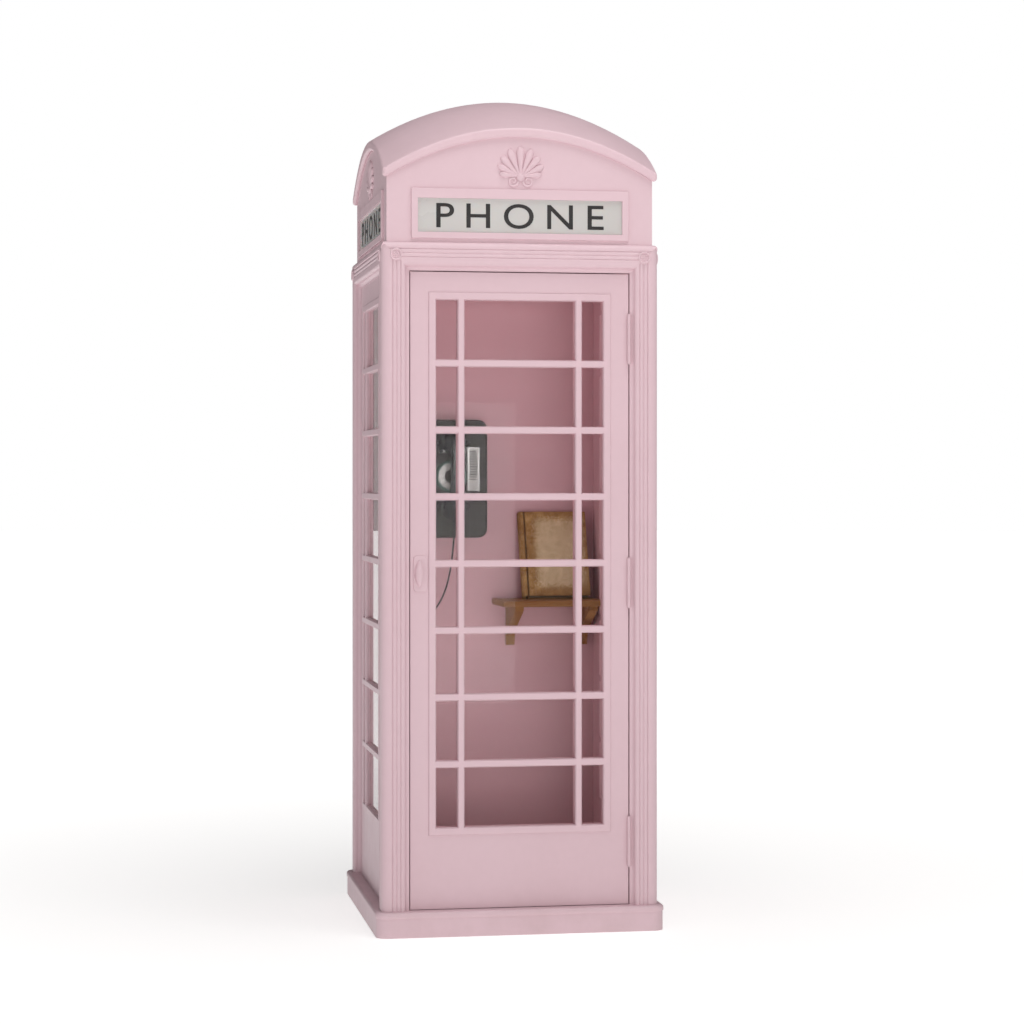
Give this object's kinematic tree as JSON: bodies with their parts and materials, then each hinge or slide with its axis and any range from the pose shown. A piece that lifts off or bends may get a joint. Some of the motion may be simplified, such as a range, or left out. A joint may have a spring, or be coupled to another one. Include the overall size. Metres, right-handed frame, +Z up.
{
  "type": "telephone booth",
  "caption": "Cast-iron street telephone booth with reeded corner posts, domed roof, lit sign band, glazed sides and hinged glazed door, and a wall telephone, shelf and book inside.",
  "frame": {"origin": "middle of the base, on the ground", "axes": "+Z up, the door faces -Y, its hinges are on the +X side"},
  "size_m": [0.861, 0.861, 2.494],
  "materials": {
    "painted_casting": "semi-matte pale pink paint over cast iron",
    "painted_timber": "semi-matte pale pink paint over hardwood",
    "window_metal": "semi-matte pale pink paint over metal glazing bars",
    "clear_glass": "clear float glass",
    "opal_glass": "opal white sign glass",
    "floor_stone": "trowelled concrete",
    "hinge_steel": "painted steel",
    "pin_steel": "painted steel",
    "lamp_metal": "enamel",
    "lamp_glass": "frosted glass",
    "case_enamel": "dark grey textured enamel",
    "dial_enamel": "grey-green enamel",
    "wheel_metal": "satin stainless steel",
    "bright_trim": "polished",
    "handset_plastic": "moulded, semi-gloss black",
    "cord_sheath": "soft black sheath",
    "card_paper": "printed card",
    "shelf_wood": "oiled hardwood",
    "book_cloth": "worn tan book cloth",
    "book_paper": "aged paper"
  },
  "bodies": {
    "cabin": {"back_panel": "painted_casting", "card": "card_paper", "card_frame": "bright_trim", "ceiling_panel": "painted_casting", "cord_gland": "cord_sheath", "cradle_pin": "bright_trim", "dial_body": "dial_enamel", "door_stops": "painted_casting", "fascia_back": "painted_casting", "fascia_front": "painted_casting", "fascia_left": "painted_casting", "fascia_right": "painted_casting", "finger_stop": "bright_trim", "floor_slab": "floor_stone", "handset_cord": "cord_sheath", "head_back": "painted_casting", "head_front": "painted_casting", "head_left": "painted_casting", "head_right": "painted_casting", "hinge_frame_leaves": "hinge_steel", "hinge_pins": "pin_steel", "lamp_base": "lamp_metal", "lamp_lens": "lamp_glass", "phone_back_plate": "case_enamel", "phone_case": "case_enamel", "plinth": "painted_casting", "post_front_left": "painted_casting", "post_front_right": "painted_casting", "post_rear_left": "painted_casting", "post_rear_right": "painted_casting", "roof_dome": "painted_casting", "roof_ornaments": "painted_casting", "roof_rim": "painted_casting", "rosettes": "painted_casting", "shelf_board": "shelf_wood", "shelf_brackets": "shelf_wood", "side_panel_left": "painted_casting", "side_panel_right": "painted_casting", "side_panes_left": "clear_glass", "side_panes_right": "clear_glass", "side_window_left": "window_metal", "side_window_right": "window_metal", "sign_frames": "painted_casting", "sign_glasses": "opal_glass"},
    "door": {"door_hinge_stile": "painted_timber", "door_latch_stile": "painted_timber", "door_top_rail": "painted_timber", "door_kick_panel": "painted_timber", "door_window": "window_metal", "door_panes": "clear_glass", "hinge_door_leaves": "hinge_steel", "pull_plate": "hinge_steel", "pull_cup": "hinge_steel"},
    "handset": {"handset": "handset_plastic", "handset_caps": "handset_plastic"},
    "cradle": {"cradle": "bright_trim"},
    "finger_wheel": {"finger_wheel": "wheel_metal"},
    "book": {"book_cover": "book_cloth", "book_pages": "book_paper"}
  },
  "joints": [
    {"name": "door_hinge", "type": "hinge", "parent": "cabin", "child": "door", "pos_m": [0.326, -0.3975, 1], "axis": [0, 0, 1], "range_deg": [0, 100]},
    {"name": "handset_lift", "type": "slide", "parent": "cabin", "child": "handset", "axis": [0, -0.8, 0.6], "range_m": [0, 0.25]},
    {"name": "cradle_tilt", "type": "hinge", "parent": "cabin", "child": "cradle", "pos_m": [-0.103, 0.314, 1.4244], "axis": [-1, 0, 0], "range_deg": [0, 10.1]},
    {"name": "dial_turn", "type": "hinge", "parent": "cabin", "child": "finger_wheel", "pos_m": [-0.106, 0.28, 1.345], "axis": [0, 1, 0], "range_deg": [0, 300], "stiffness_Nm_per_rad": 0.02},
    {"name": "book_lift", "type": "slide", "parent": "cabin", "child": "book", "axis": [0, 0, 1], "range_m": [0, 0.15]}
  ],
  "couplings": [
    {"joint": "cradle_tilt", "follows": "handset_lift", "rad_per_m": 0.7}
  ]
}
